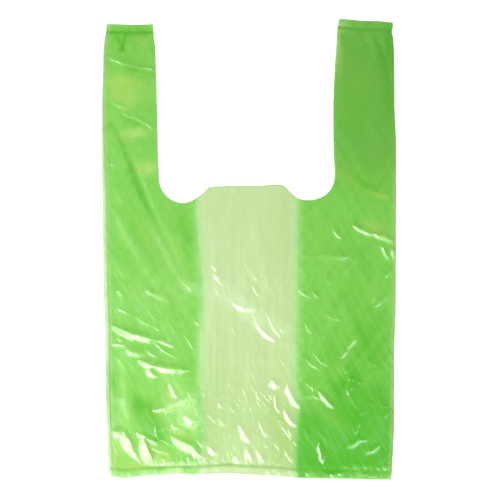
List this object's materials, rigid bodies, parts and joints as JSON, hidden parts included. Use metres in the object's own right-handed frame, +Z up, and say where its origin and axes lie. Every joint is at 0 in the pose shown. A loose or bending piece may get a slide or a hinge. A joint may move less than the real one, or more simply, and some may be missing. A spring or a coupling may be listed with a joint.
{
  "type": "diaper disposal bag",
  "caption": "Thin translucent green film bag with side gussets, a welded bottom and loop handles beside a punched neck, lying flat and empty, for wrapping and knotting waste.",
  "frame": {"origin": "middle of the bag's length and width, on the surface that its back panel lies on", "axes": "+X across the bag to the right, +Y from the welded bottom towards the handles, +Z up out of the front panel"},
  "size_m": [0.2, 0.312, 0.0037],
  "materials": {
    "film": "thin translucent polyethylene film, green, glossy and finely creased"
  },
  "bodies": {
    "root": {"bag": "film"}
  },
  "joints": []
}
